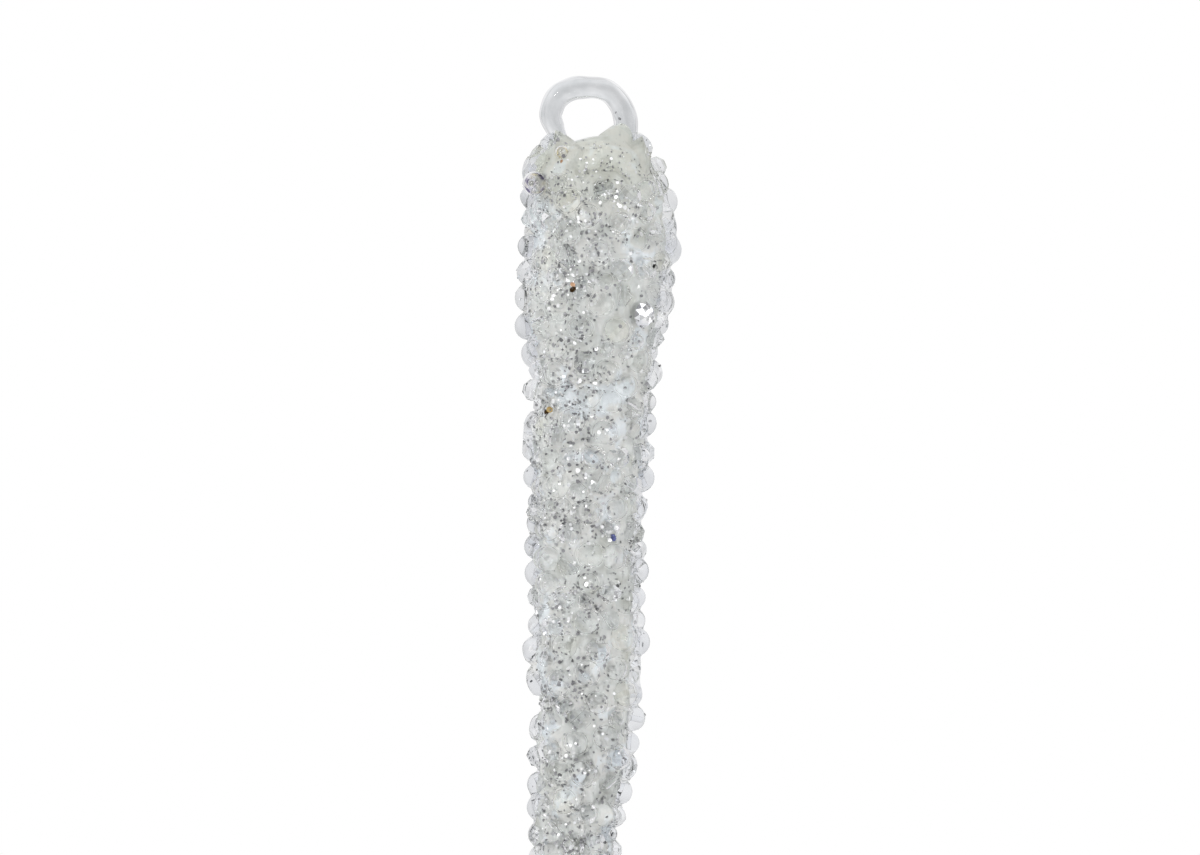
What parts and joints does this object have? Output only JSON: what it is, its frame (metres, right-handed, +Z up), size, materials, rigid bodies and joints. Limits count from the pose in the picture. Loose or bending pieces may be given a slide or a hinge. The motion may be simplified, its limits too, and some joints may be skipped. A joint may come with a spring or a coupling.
{
  "type": "icicle ornament",
  "caption": "Long tapering icicle with a rounded crown, faceted crystal beads set in its glue coat, and a bent clear rod loop at the top to hang it by.",
  "frame": {"origin": "the hook point: the underside of the hanging loop's top bar, midway across the rod's thickness, where a hook or a thread bears", "axes": "+Z up, as the ornament hangs; +X to the right seen from the front; +Y away from the viewer, along the way through the loop"},
  "size_m": [0.025, 0.0254, 0.2248],
  "materials": {
    "clear_core": "clear moulded plastic, slightly cloudy",
    "glitter_glue": "clear glue full of silver glitter, warm grey",
    "clear_rod": "clear, glossy and a little wavy",
    "crystal_glass": "clear faceted crystal, polished"
  },
  "bodies": {
    "root": {"crystal_bead_01": "crystal_glass", "crystal_bead_02": "crystal_glass", "crystal_bead_03": "crystal_glass", "crystal_bead_04": "crystal_glass", "crystal_bead_05": "crystal_glass", "crystal_bead_06": "crystal_glass", "crystal_bead_07": "crystal_glass", "crystal_bead_08": "crystal_glass", "crystal_bead_09": "crystal_glass", "crystal_bead_10": "crystal_glass", "crystal_bead_11": "crystal_glass", "crystal_bead_12": "crystal_glass", "crystal_bead_13": "crystal_glass", "crystal_bead_14": "crystal_glass", "crystal_bead_15": "crystal_glass", "crystal_bead_16": "crystal_glass", "crystal_bead_17": "crystal_glass", "crystal_bead_18": "crystal_glass", "crystal_bead_19": "crystal_glass", "crystal_bead_20": "crystal_glass", "crystal_bead_21": "crystal_glass", "crystal_bead_22": "crystal_glass", "crystal_bead_23": "crystal_glass", "crystal_bead_24": "crystal_glass", "crystal_bead_25": "crystal_glass", "crystal_bead_26": "crystal_glass", "crystal_bead_27": "crystal_glass", "crystal_bead_28": "crystal_glass", "crystal_bead_29": "crystal_glass", "crystal_bead_30": "crystal_glass", "crystal_bead_31": "crystal_glass", "crystal_bead_32": "crystal_glass", "crystal_bead_33": "crystal_glass", "crystal_bead_34": "crystal_glass", "crystal_bead_35": "crystal_glass", "crystal_bead_36": "crystal_glass", "crystal_bead_37": "crystal_glass", "crystal_bead_38": "crystal_glass", "crystal_bead_39": "crystal_glass", "crystal_bead_40": "crystal_glass", "crystal_bead_41": "crystal_glass", "crystal_bead_42": "crystal_glass", "crystal_bead_43": "crystal_glass", "crystal_bead_44": "crystal_glass", "crystal_bead_45": "crystal_glass", "crystal_bead_46": "crystal_glass", "crystal_bead_47": "crystal_glass", "crystal_bead_48": "crystal_glass", "crystal_bead_49": "crystal_glass", "crystal_bead_50": "crystal_glass", "crystal_bead_51": "crystal_glass", "crystal_bead_52": "crystal_glass", "crystal_bead_53": "crystal_glass", "crystal_bead_54": "crystal_glass", "crystal_bead_55": "crystal_glass", "crystal_bead_56": "crystal_glass", "crystal_bead_57": "crystal_glass", "glue_coat": "glitter_glue", "hanging_loop": "clear_rod", "icicle_core": "clear_core"}
  },
  "joints": []
}
